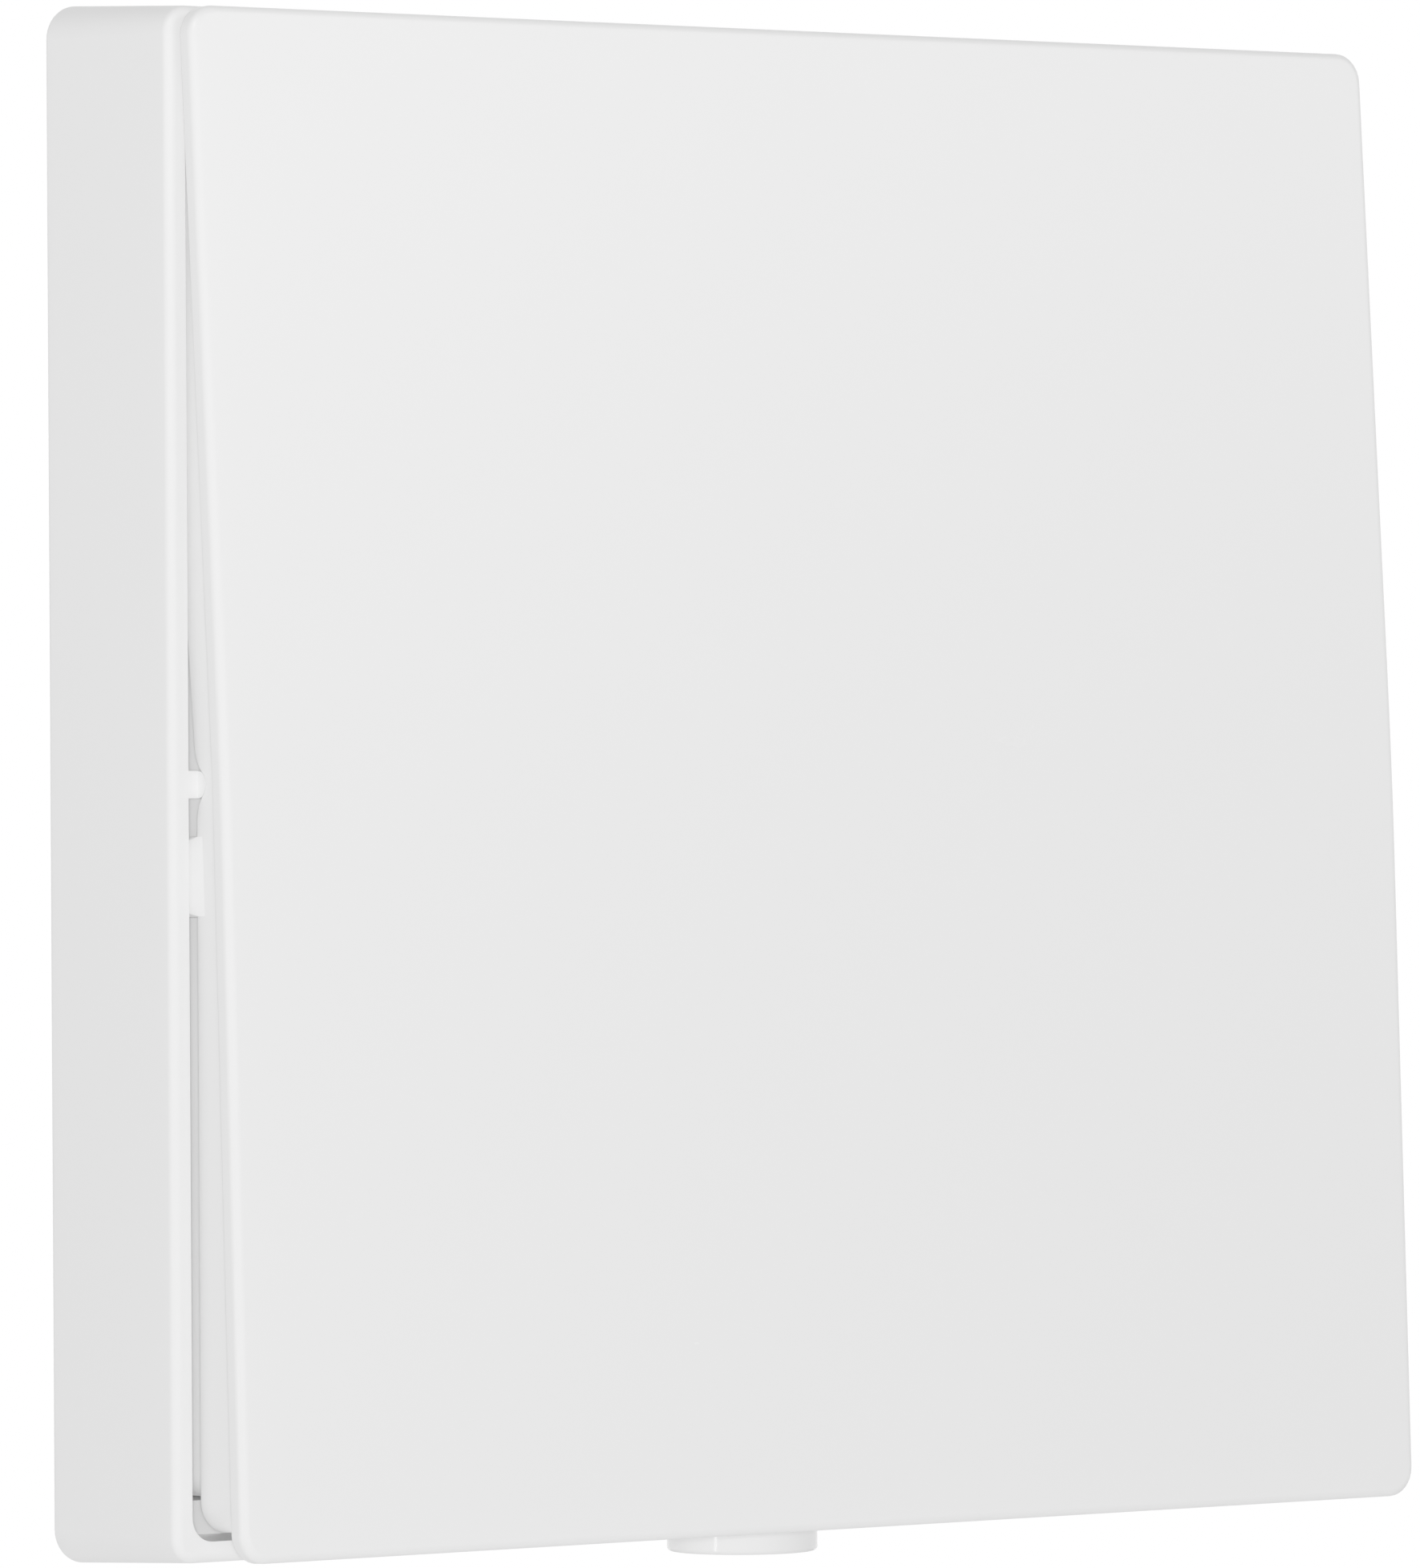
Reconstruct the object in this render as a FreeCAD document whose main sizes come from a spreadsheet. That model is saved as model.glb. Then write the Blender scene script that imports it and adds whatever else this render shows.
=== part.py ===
"""Surface-mounted wireless light switch: a moulded wall tray with a rocker over its whole front.

Frame: X to the right as seen from the front, Z up, the wall on the +Y side. The origin is the middle
of the flat back. A "stand" is a distance in front of the wall, so a stand of 10 is Y = -10.
"""
import FreeCAD, Part
import math
import os
import re
import Sketcher

V = FreeCAD.Vector

# Driving sizes in millimetres and degrees
SIZES = [
    # wall tray
    ("base_width", 80.0),
    ("base_height", 80.0),
    ("base_corner", 1.8),
    ("wall_draft", 2.8),
    ("rim_wall", 1.05),
    ("floor_thickness", 1.6),
    ("cavity_corner", 1.25),
    ("cavity_draft", 0.8),
    ("rim_edge", 0.5),
    ("back_edge", 0.3),
    ("screw_inset", 10.0),
    ("screw_slot_width", 3.8),
    ("screw_slot_length", 7.0),
    ("pad_recess_depth", 0.5),
    ("pad_recess_width", 50.0),
    ("pad_recess_height", 14.0),
    ("pad_recess_level", 24.0),
    ("pad_recess_corner", 1.0),
    ("sill_length", 26.0),
    ("sill_stand", 6.0),
    ("sill_gap", 0.25),
    # pivots in the tray's side walls
    ("pivot_radius", 0.7),
    ("pivot_length", 3.65),
    ("pivot_flat_length", 0.56),
    # rocker
    ("face_inset", 0.6),
    ("face_corner", 1.55),
    ("face_stand", 4.4),
    ("face_slope", 0.86),
    ("face_blend", 333.0),
    ("face_thickness", 1.1),
    ("face_edge", 0.45),
    ("face_back_edge", 0.12),
    ("face_drop", 0.08),
    ("rest_tilt", 2.81),
    ("skirt_gap", 0.53),
    ("skirt_wall", 1.2),
    ("skirt_corner", 1.7),
    ("notch_clearance", 0.06),
    ("notch_flare", 1.9),
    ("lug_bottom", 6.7),
    ("lug_height", 4.05),
    ("lug_depth", 1.75),
    ("lug_side_gap", 0.2),
    ("lug_start", 0.3),
    ("lug_full", 1.0),
    ("lug_bevel", 0.25),
    ("ear_wall", 1.0),
    ("ear_inset", 0.75),
    ("ear_thickness", 1.0),
    ("snap_width", 1.1),
    ("bearing_clearance", 0.05),
    ("rib_wall", 0.9),
    ("rib_height", 1.2),
    ("rib_offset", 22.0),
    ("rib_level", 18.0),
    ("post_level", 8.0),
    ("post_width", 3.2),
    ("post_corner", 0.4),
    ("post_gap", 0.2),
    # return springs
    ("spring_offset", 14.0),
    ("spring_level", 26.0),
    ("spring_wire", 0.5),
    ("spring_radius", 2.5),
    ("spring_turns", 4.5),
    ("spring_gap", 0.15),
    ("spring_end_gap", 0.42),
    ("spring_pin_radius", 1.8),
    ("spring_pin_height", 1.0),
    ("seat_radius", 3.4),
    ("seat_stand", 2.5),
    # stop pads
    ("stop_offset", 21.0),
    ("stop_inset", 3.1),
    ("stop_width", 8.0),
    ("stop_depth", 3.0),
    ("stop_thickness", 0.9),
    ("stop_recess", 0.3),
    ("stop_side_gap", 0.1),
    ("stop_gap", 0.1),
    ("stop_rib_wall", 1.4),
    # module cover
    ("cover_gap", 2.05),
    ("cover_lift", 2.2),
    ("cover_wall", 1.0),
    ("cover_corner", 1.2),
    ("cover_edge", 0.95),
    ("cover_room", 0.2),
    ("well_radius", 4.5),
    ("well_wall", 0.8),
    ("window_gap", 1.2),
    ("screw_post_inset", 5.0),
    ("screw_post_radius", 2.5),
    ("screw_radius", 1.0),
    ("screw_clearance", 0.1),
    ("pilot_gap", 0.03),
    ("screw_head_radius", 1.8),
    ("screw_head_height", 1.2),
    ("screw_head_sink", 0.3),
    ("screw_cross_width", 0.4),
    ("screw_cross_depth", 0.7),
    ("screw_tip_stand", 0.7),
    # circuit board
    ("board_gap", 1.1),
    ("board_lift", 0.8),
    ("board_thickness", 1.0),
    ("board_corner", 1.0),
    ("board_notch_gap", 0.5),
    # coin cell and its holder
    ("cell_radius", 10.0),
    ("cell_height", 3.2),
    ("cell_level", 16.0),
    ("cell_lift", 0.9),
    ("cell_cap_radius", 8.7),
    ("cell_cap_height", 0.4),
    ("holder_gap", 0.15),
    ("holder_wall", 1.15),
    ("holder_floor", 0.5),
    ("holder_height", 3.2),
    ("contact_thickness", 0.2),
    ("contact_width", 3.0),
    ("contact_gap", 0.05),
    ("contact_reach", 5.0),
    ("contact_foot", 2.0),
    ("clip_width", 4.0),
    ("clip_reach", 7.0),
    ("clip_gap", 0.4),
    ("clip_lift", 0.25),
    # rocker switch
    ("switch_width", 6.2),
    ("switch_height", 3.4),
    ("collar_wall", 0.57),
    ("plunger_radius", 1.7),
    ("plunger_gap", 0.08),
    ("plunger_proud", 1.0),
    ("plunger_depth", 3.8),
    ("plunger_room", 1.1),
    ("plunger_window_gap", 0.8),
    # learn button and its switch
    ("button_radius", 4.0),
    ("button_gap", 0.15),
    ("button_offset", 0.9),
    ("button_land", 0.65),
    ("button_proud", 0.95),
    ("button_sink", 0.3),
    ("button_edge", 0.22),
    ("button_travel", 0.5),
    ("neck_width", 5.2),
    ("neck_corner", 0.5),
    ("ear_plate_wall", 0.7),
    ("ear_plate_width", 11.4),
    ("ear_plate_gap", 0.3),
    ("ear_plate_floor_gap", 0.6),
    ("ear_plate_front_gap", 0.58),
    ("stem_radius", 1.1),
    ("stem_edge", 0.1),
    ("stem_gap", 0.1),
    ("side_switch_width", 6.0),
    ("side_switch_height", 3.3),
    ("side_switch_recess", 0.1),
    ("side_switch_overhang", 0.2),
    ("side_plunger_width", 2.4),
    ("side_plunger_height", 1.4),
    ("side_plunger_reach", 1.2),
    ("side_plunger_depth", 1.4),
    ("side_plunger_gap", 0.08),
    # radio and electronics
    ("radio_width", 13.0),
    ("radio_height", 18.0),
    ("radio_board_thickness", 0.8),
    ("radio_gap", 0.5),
    ("radio_place_z", 16.2),
    ("shield_width", 11.0),
    ("shield_height", 11.0),
    ("shield_thickness", 1.8),
    ("shield_wall", 0.2),
    ("shield_corner", 0.3),
    ("shield_margin", 0.8),
    ("antenna_width", 7.0),
    ("antenna_height", 2.0),
    ("antenna_thickness", 1.0),
    ("antenna_margin", 1.5),
    ("chip_size", 6.0),
    ("chip_thickness", 0.9),
    ("chip_place_x", -21.0),
    ("chip_place_z", 14.0),
    ("dimple_radius", 0.4),
    ("crystal_length", 3.2),
    ("crystal_width", 2.5),
    ("crystal_thickness", 0.8),
    ("crystal_lip", 0.2),
    ("led_length", 1.6),
    ("led_width", 0.8),
    ("led_thickness", 0.7),
    ("led_place_x", 9.0),
    ("led_place_z", -29.0),
    ("led_window_radius", 1.0),
    ("part_length", 1.6),
    ("part_width", 0.8),
    ("part_thickness", 0.8),
    ("part_reach", 5.5),
    ("part_pitch", 3.0),
]

# Sizes worked out from the driving ones, the stack from the wall forwards first
DERIVED = [
    ("board_stand", "floor_thickness + board_lift"),
    ("board_front", "board_stand + board_thickness"),
    ("switch_front", "board_front + switch_height"),
    ("cover_inner", "switch_front + cover_room"),
    ("cover_stand", "cover_inner + cover_wall"),
    ("base_depth", "cover_stand + cover_lift"),
    ("rim_width", "base_width - 2 * base_depth * tan(wall_draft * 1 deg)"),
    ("rim_height", "base_height - 2 * base_depth * tan(wall_draft * 1 deg)"),
    ("cavity_width", "rim_width - 2 * rim_wall"),
    ("cavity_height", "rim_height - 2 * rim_wall"),
    ("screw_spacing", "base_width - 2 * screw_inset"),
    ("pivot_stand", "base_depth"),
    ("pivot_inner", "cavity_width / 2 - pivot_length"),
    ("pivot_flat_inner", "cavity_width / 2 - pivot_flat_length"),
    ("face_width", "base_width - 2 * face_inset"),
    ("face_height", "base_height - 2 * face_inset"),
    ("skirt_width", "cavity_width - 2 * skirt_gap"),
    ("skirt_height", "cavity_height - 2 * skirt_gap"),
    ("skirt_slope", "tan(rest_tilt * 1 deg)"),
    ("face_end_stand", "face_stand - face_height / 2 * tan(face_slope * 1 deg)"),
    ("face_back", "face_stand - face_thickness"),
    ("face_back_end", "face_end_stand - face_thickness"),
    ("ear_outer", "skirt_width / 2 - skirt_wall - ear_inset"),
    ("bearing_radius", "pivot_radius + bearing_clearance"),
    ("notch_radius", "pivot_radius + notch_clearance"),
    ("ear_radius", "bearing_radius + ear_wall"),
    ("cover_width", "cavity_width - 2 * cover_gap"),
    ("cover_height", "cavity_height - 2 * cover_gap"),
    ("sill_width", "cover_gap - sill_gap + rim_wall / 2"),
    ("board_width", "cover_width - 2 * cover_wall - 2 * board_gap"),
    ("board_height", "cover_height - 2 * cover_wall - 2 * board_gap"),
    ("screw_post_x", "board_width / 2 - screw_post_inset"),
    ("screw_post_z", "board_height / 2 - screw_post_inset"),
    ("well_outer", "well_radius + well_wall"),
    ("cell_stand", "board_front + cell_lift"),
    ("holder_inner", "cell_radius + holder_gap"),
    ("holder_outer", "holder_inner + holder_wall"),
    ("window_radius", "cell_radius + window_gap"),
    ("radio_place_x", "holder_outer + radio_gap + radio_width / 2"),
    ("stop_level", "cover_height / 2 - stop_inset"),
    ("stop_front", "cover_stand - stop_recess + stop_thickness"),
    ("stop_fall", "stop_level * sin(rest_tilt * 1 deg)"),
    ("stop_end", "(stop_front + stop_gap + stop_fall - pivot_stand) / cos(rest_tilt * 1 deg)"),
    ("plunger_stand", "cover_stand + plunger_proud"),
    ("post_fall", "post_level * sin(rest_tilt * 1 deg)"),
    ("post_end", "(plunger_stand + post_gap - post_fall - pivot_stand) / cos(rest_tilt * 1 deg)"),
    ("button_stand", "base_depth - button_land - button_gap - button_radius"),
    ("button_reach", "base_height / 2 + button_proud"),
    ("button_inner", "cavity_height / 2 + button_sink"),
    ("ear_plate_place", "cavity_height / 2 - ear_plate_gap"),
    ("ear_plate_low", "floor_thickness + ear_plate_floor_gap"),
    ("ear_plate_high", "pivot_stand - skirt_height * sin(rest_tilt * 1 deg) - ear_plate_front_gap"),
    ("stem_stand", "ear_plate_high - stem_radius - stem_edge"),
    ("side_switch_edge", "board_height / 2 + side_switch_overhang"),
    ("side_switch_depth", "switch_height - side_switch_recess"),
]

doc = FreeCAD.newDocument("wireless_light_switch")
sheet = doc.addObject("Spreadsheet::Sheet", "Sizes")
for row, (name, size) in enumerate(SIZES, start=1):
    sheet.set(f"A{row}", name)
    sheet.set(f"B{row}", str(size))
    sheet.setAlias(f"B{row}", name)
for row, (name, formula) in enumerate(DERIVED, start=len(SIZES) + 1):
    sheet.set(f"A{row}", name)
    sheet.set(f"B{row}", "=" + formula)
    sheet.setAlias(f"B{row}", name)
doc.recompute()
ALIASES = [name for name, _ in SIZES + DERIVED]
WORD = re.compile(r"\b(" + "|".join(ALIASES) + r")\b")


def value(formula):
    """The number that a formula of sheet names comes to."""
    return float(sheet.evalExpression(formula))


def bind(thing, path, formula):
    """Ties a property to a formula of sheet names."""
    thing.setExpression(path, WORD.sub(r"Sizes.\1", formula))


def body_named(label):
    body = doc.addObject("PartDesign::Body", label)
    body.Label = label
    return body


def sketch_on(body, role, offset="0"):
    """A sketch on one of the body's origin planes, moved along the plane's normal."""
    sketch = body.newObject("Sketcher::SketchObject", body.Label + "_sketch")
    plane = next(item for item in body.Origin.OriginFeatures if item.Role == role)
    sketch.AttachmentSupport = [(plane, "")]
    sketch.MapMode = "FlatFace"
    bind(sketch, "AttachmentOffset.Base.z", offset)
    return sketch


def constrain(sketch, *arguments):
    """Adds a constraint; a formula given last binds its value."""
    formula = None
    if isinstance(arguments[-1], str):
        formula = arguments[-1]
        arguments = arguments[:-1] + (value(formula),)
    index = sketch.addConstraint(Sketcher.Constraint(*arguments))
    if formula:
        bind(sketch, f"Constraints[{index}]", formula)


def place_along(sketch, kind, edge, end, formula):
    """Fixes one coordinate of a point of the sketch; zero puts the point on the axis."""
    if value(formula) == 0:
        constrain(sketch, "PointOnObject", edge, end, -2 if kind == "DistanceX" else -1)
    else:
        constrain(sketch, kind, -1, 1, edge, end, formula)


def place_point(sketch, edge, end, x, y):
    place_along(sketch, "DistanceX", edge, end, x)
    place_along(sketch, "DistanceY", edge, end, y)


def circle(sketch, radius, x="0", y="0"):
    centre = V(value(x), value(y), 0)
    edge = sketch.addGeometry(Part.Circle(centre, V(0, 0, 1), value(radius)))
    constrain(sketch, "Radius", edge, radius)
    place_point(sketch, edge, 3, x, y)


def rounded_rectangle(sketch, wide, high, radius, x="0", y="0"):
    """A rectangle with four equal round corners about a centre."""
    w, h, r = value(wide) / 2, value(high) / 2, value(radius)
    centre = V(value(x), value(y), 0)
    first = sketch.GeometryCount
    corners = [(w - r, -h + r), (w - r, h - r), (-w + r, h - r), (-w + r, -h + r)]
    for turn in range(4):
        cx, cy = corners[turn]
        start = (turn - 1) * math.pi / 2
        arc = Part.ArcOfCircle(Part.Circle(centre + V(cx, cy, 0), V(0, 0, 1), r), start, start + math.pi / 2)
        nx, ny = corners[(turn + 1) % 4]
        step = V(math.cos(start + math.pi / 2), math.sin(start + math.pi / 2), 0) * r
        line = Part.LineSegment(centre + V(cx, cy, 0) + step, centre + V(nx, ny, 0) + step)
        sketch.addGeometry(arc)
        sketch.addGeometry(line)
    for turn in range(4):
        arc, line = first + 2 * turn, first + 2 * turn + 1
        constrain(sketch, "Tangent", arc, 2, line, 1)
        constrain(sketch, "Tangent", line, 2, first + (2 * turn + 2) % 8, 1)
        constrain(sketch, "Vertical" if turn % 2 == 0 else "Horizontal", line)
    for turn in range(1, 4):
        constrain(sketch, "Equal", first, first + 2 * turn)
    right, top, left, bottom = first, first + 3, first + 5, first + 7
    constrain(sketch, "Radius", first, radius)
    constrain(sketch, "DistanceX", -1, 1, first + 1, 1, f"{x} + {wide} / 2")
    constrain(sketch, "DistanceX", -1, 1, left, 1, f"{x} - {wide} / 2")
    constrain(sketch, "DistanceY", -1, 1, top, 1, f"{y} + {high} / 2")
    constrain(sketch, "DistanceY", -1, 1, bottom, 1, f"{y} - {high} / 2")


def slot(sketch, length, width, x, y="0"):
    """A slot with round ends that runs along the sketch's first axis."""
    right, left = f"{x} + ({length} - {width}) / 2", f"{x} - ({length} - {width}) / 2"
    low, top = f"{y} - {width} / 2", f"{y} + {width} / 2"
    outline(sketch, [(left, low), (right, low, (right, y, 1)), (right, top), (left, top, (left, y, 1))])


def outline(sketch, corners):
    """A closed outline. Each corner is (x, y), or (x, y, (centre x, centre y, turn)) where an arc starts.

    A turn of 1 runs counter-clockwise to the next corner, -1 clockwise.
    """
    first = sketch.GeometryCount
    count = len(corners)
    spots = [V(value(c[0]), value(c[1]), 0) for c in corners]
    starts = []
    for i, corner in enumerate(corners):
        here, there = spots[i], spots[(i + 1) % count]
        if len(corner) == 2:
            sketch.addGeometry(Part.LineSegment(here, there))
            starts.append(1)
            continue
        x, y, turn = corner[2]
        centre = V(value(x), value(y), 0)
        a, b = (here, there) if turn > 0 else (there, here)
        low = math.atan2(a.y - centre.y, a.x - centre.x)
        high = math.atan2(b.y - centre.y, b.x - centre.x)
        if high <= low:
            high += 2 * math.pi
        radius = here.distanceToPoint(centre)
        sketch.addGeometry(Part.ArcOfCircle(Part.Circle(centre, V(0, 0, 1), radius), low, high))
        starts.append(1 if turn > 0 else 2)
    for i, corner in enumerate(corners):
        after = (i + 1) % count
        constrain(sketch, "Coincident", first + i, 3 - starts[i], first + after, starts[after])
        place_point(sketch, first + i, starts[i], corner[0], corner[1])
        if len(corner) == 3:
            chord = spots[after] - spots[i]
            if abs(chord.y) > abs(chord.x):
                place_along(sketch, "DistanceX", first + i, 3, corner[2][0])
            else:
                place_along(sketch, "DistanceY", first + i, 3, corner[2][1])


def rectangle(sketch, wide, high, x="0", y="0"):
    """A plain rectangle about a centre."""
    left, right = f"{x} - {wide} / 2", f"{x} + {wide} / 2"
    low, top = f"{y} - {high} / 2", f"{y} + {high} / 2"
    outline(sketch, [(left, low), (right, low), (right, top), (left, top)])


def pad(body, sketch, length, taper=None, reverse=False, both=False):
    """Grows the sketch along its normal, against it, or to both sides."""
    feature = body.newObject("PartDesign::Pad", body.Label + "_pad")
    feature.Profile = sketch
    feature.Reversed = reverse
    feature.SideType = "Symmetric" if both else "One side"
    bind(feature, "Length", length)
    if taper:
        bind(feature, "TaperAngle", taper)
    doc.recompute()
    return feature


def pocket(body, sketch, length=None, taper=None, reverse=False, both=False):
    """Cuts the sketch out against its normal, or along it; without a length it cuts through everything."""
    before = body.Shape.Volume
    feature = body.newObject("PartDesign::Pocket", body.Label + "_pocket")
    feature.Profile = sketch
    feature.Reversed = reverse
    feature.SideType = "Symmetric" if both else "One side"
    if length is None:
        feature.Type = "ThroughAll"
    else:
        bind(feature, "Length", length)
    if taper:
        bind(feature, "TaperAngle", taper)
    doc.recompute()
    if not body.Shape.Volume < before - 1e-6:
        raise RuntimeError(f"{feature.Label} in {body.Label} cuts nothing")
    return feature


def edges_where(feature, test):
    """Names of the feature's edges whose centre, length and box pass the test."""
    return [f"Edge{i}" for i, edge in enumerate(feature.Shape.Edges, start=1) if test(edge)]


def fillet(body, radius, test, kind="Fillet"):
    """Rounds or bevels the tip's edges that pass the test."""
    tip = body.Tip
    names = edges_where(tip, test)
    if not names:
        raise RuntimeError(f"no edge to finish in {body.Label}")
    feature = body.newObject("PartDesign::" + kind, f"{body.Label}_{kind.lower()}")
    feature.Base = (tip, names)
    bind(feature, "Radius" if kind == "Fillet" else "Size", radius)
    doc.recompute()
    return feature


def mirror(body, features, role="YZ_Plane"):
    """Repeats features on the other side of the middle plane."""
    feature = body.newObject("PartDesign::Mirrored", body.Label + "_mirrored")
    feature.Originals = features
    plane = next(item for item in body.Origin.OriginFeatures if item.Role == role)
    feature.MirrorPlane = (plane, [""])
    body.Tip = feature
    doc.recompute()
    return feature


def near(number, formula, within=0.01):
    return abs(number - value(formula)) < within


def block(label, x, stand, z, edge=None):
    """A box between pairs of formulas along X, in stand and along Z, its long edges rounded if asked."""
    box = doc.addObject("Part::Box", label)
    bind(box, "Length", f"{x[1]} - ({x[0]})")
    bind(box, "Width", f"{stand[1]} - ({stand[0]})")
    bind(box, "Height", f"{z[1]} - ({z[0]})")
    bind(box, "Placement.Base.x", x[0])
    bind(box, "Placement.Base.y", f"-({stand[1]})")
    bind(box, "Placement.Base.z", z[0])
    if edge is None:
        return box
    doc.recompute()
    rounded = doc.addObject("Part::Fillet", label + "_rounded")
    rounded.Base = box
    radius = value(edge)
    front = -value(stand[1])
    rounded.Edges = [
        (i, radius, radius)
        for i, e in enumerate(box.Shape.Edges, start=1)
        if abs(e.BoundBox.YMax - front) < 1e-6
    ]
    return rounded


def rod(label, radius, x, stand, z):
    """A cylinder that points forwards from the first stand to the second."""
    cylinder = doc.addObject("Part::Cylinder", label)
    bind(cylinder, "Radius", radius)
    bind(cylinder, "Height", f"{stand[1]} - ({stand[0]})")
    cylinder.Placement.Rotation = FreeCAD.Rotation(V(1, 0, 0), 90)
    bind(cylinder, "Placement.Base.x", x)
    bind(cylinder, "Placement.Base.y", f"-({stand[0]})")
    bind(cylinder, "Placement.Base.z", z)
    return cylinder


def fuse(label, pieces):
    union = doc.addObject("Part::MultiFuse", label)
    union.Shapes = pieces
    union.Refine = True
    union.Label = label
    return union


def cut(label, base, tool):
    difference = doc.addObject("Part::Cut", label)
    difference.Base = base
    difference.Tool = tool
    difference.Refine = True
    difference.Label = label
    return difference


def group(label, pieces):
    """Several separate solids of one kind under one name."""
    compound = doc.addObject("Part::Compound", label)
    compound.Links = pieces
    compound.Label = label
    return compound


def base_housing():
    """Moulded tray: drafted walls, floor with screw slots, bosses, sills, pivot stubs and the button's hole."""
    body = body_named("base_housing")
    outline = sketch_on(body, "XZ_Plane")
    rounded_rectangle(outline, "base_width", "base_height", "base_corner")
    pad(body, outline, "base_depth", taper="-wall_draft")
    mouth = sketch_on(body, "XZ_Plane", "base_depth")
    rounded_rectangle(mouth, "cavity_width", "cavity_height", "cavity_corner")
    pocket(body, mouth, "base_depth - floor_thickness", taper="-cavity_draft")
    fillet(body, "rim_edge", lambda e: near(e.BoundBox.YMax, "-base_depth") and on_rim_outline(e))
    fillet(body, "back_edge", lambda e: e.BoundBox.YMin > -0.01)

    bosses = sketch_on(body, "XZ_Plane", "floor_thickness")
    for side in ("", "-"):
        for level in ("", "-"):
            circle(bosses, "screw_post_radius", side + "screw_post_x", level + "screw_post_z")
    pad(body, bosses, "board_stand - floor_thickness")
    pilots = sketch_on(body, "XZ_Plane", "board_stand")
    for side in ("", "-"):
        for level in ("", "-"):
            circle(pilots, "screw_radius + pilot_gap", side + "screw_post_x", level + "screw_post_z")
    pocket(body, pilots, "board_stand - screw_tip_stand + pilot_gap")

    sills = sketch_on(body, "XZ_Plane", "floor_thickness")
    for side in ("", "-"):
        place = side + "(cavity_width / 2 - sill_length / 2)"
        rectangle(sills, "sill_length", "sill_width", place, "-(cover_height / 2 + sill_gap + sill_width / 2)")
    pad(body, sills, "sill_stand - floor_thickness")

    slots = sketch_on(body, "XZ_Plane", "floor_thickness")
    slot(slots, "screw_slot_length", "screw_slot_width", "screw_spacing / 2")
    slot(slots, "screw_slot_length", "screw_slot_width", "-screw_spacing / 2")
    pocket(body, slots)
    recesses = sketch_on(body, "XZ_Plane")
    for level in ("", "-"):
        place = level + "pad_recess_level"
        rounded_rectangle(recesses, "pad_recess_width", "pad_recess_height", "pad_recess_corner", "0", place)
    pocket(body, recesses, "pad_recess_depth", reverse=True)

    bore = sketch_on(body, "XY_Plane", "-button_reach")
    circle(bore, "button_radius + button_gap", "button_offset", "-button_stand")
    pocket(body, bore, "button_reach - cavity_height / 2 + rim_wall", reverse=True)

    tab = sketch_on(body, "YZ_Plane", "pivot_flat_inner")
    half_round(tab, "pivot_radius", "-pivot_stand")
    tab_pad = pad(body, tab, "pivot_flat_length + rim_wall / 2")
    journal = sketch_on(body, "YZ_Plane", "pivot_inner")
    circle(journal, "pivot_radius", "-pivot_stand")
    journal_pad = pad(body, journal, "pivot_flat_inner - pivot_inner")
    mirror(body, [tab_pad, journal_pad])
    return body


def on_rim_outline(edge):
    """Whether an edge of the rim's front is on the outer outline, not the cavity's."""
    box = edge.BoundBox
    reach = max(abs(box.XMin), abs(box.XMax), abs(box.ZMin), abs(box.ZMax))
    return reach > value("cavity_width") / 2 + value("rim_wall") / 2


def half_round(sketch, radius, x):
    """The back half of a disc whose flat faces forwards, centred on the sketch's first axis."""
    outline(sketch, [(x, f"-{radius}", (x, "0", 1)), (x, radius)])


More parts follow.
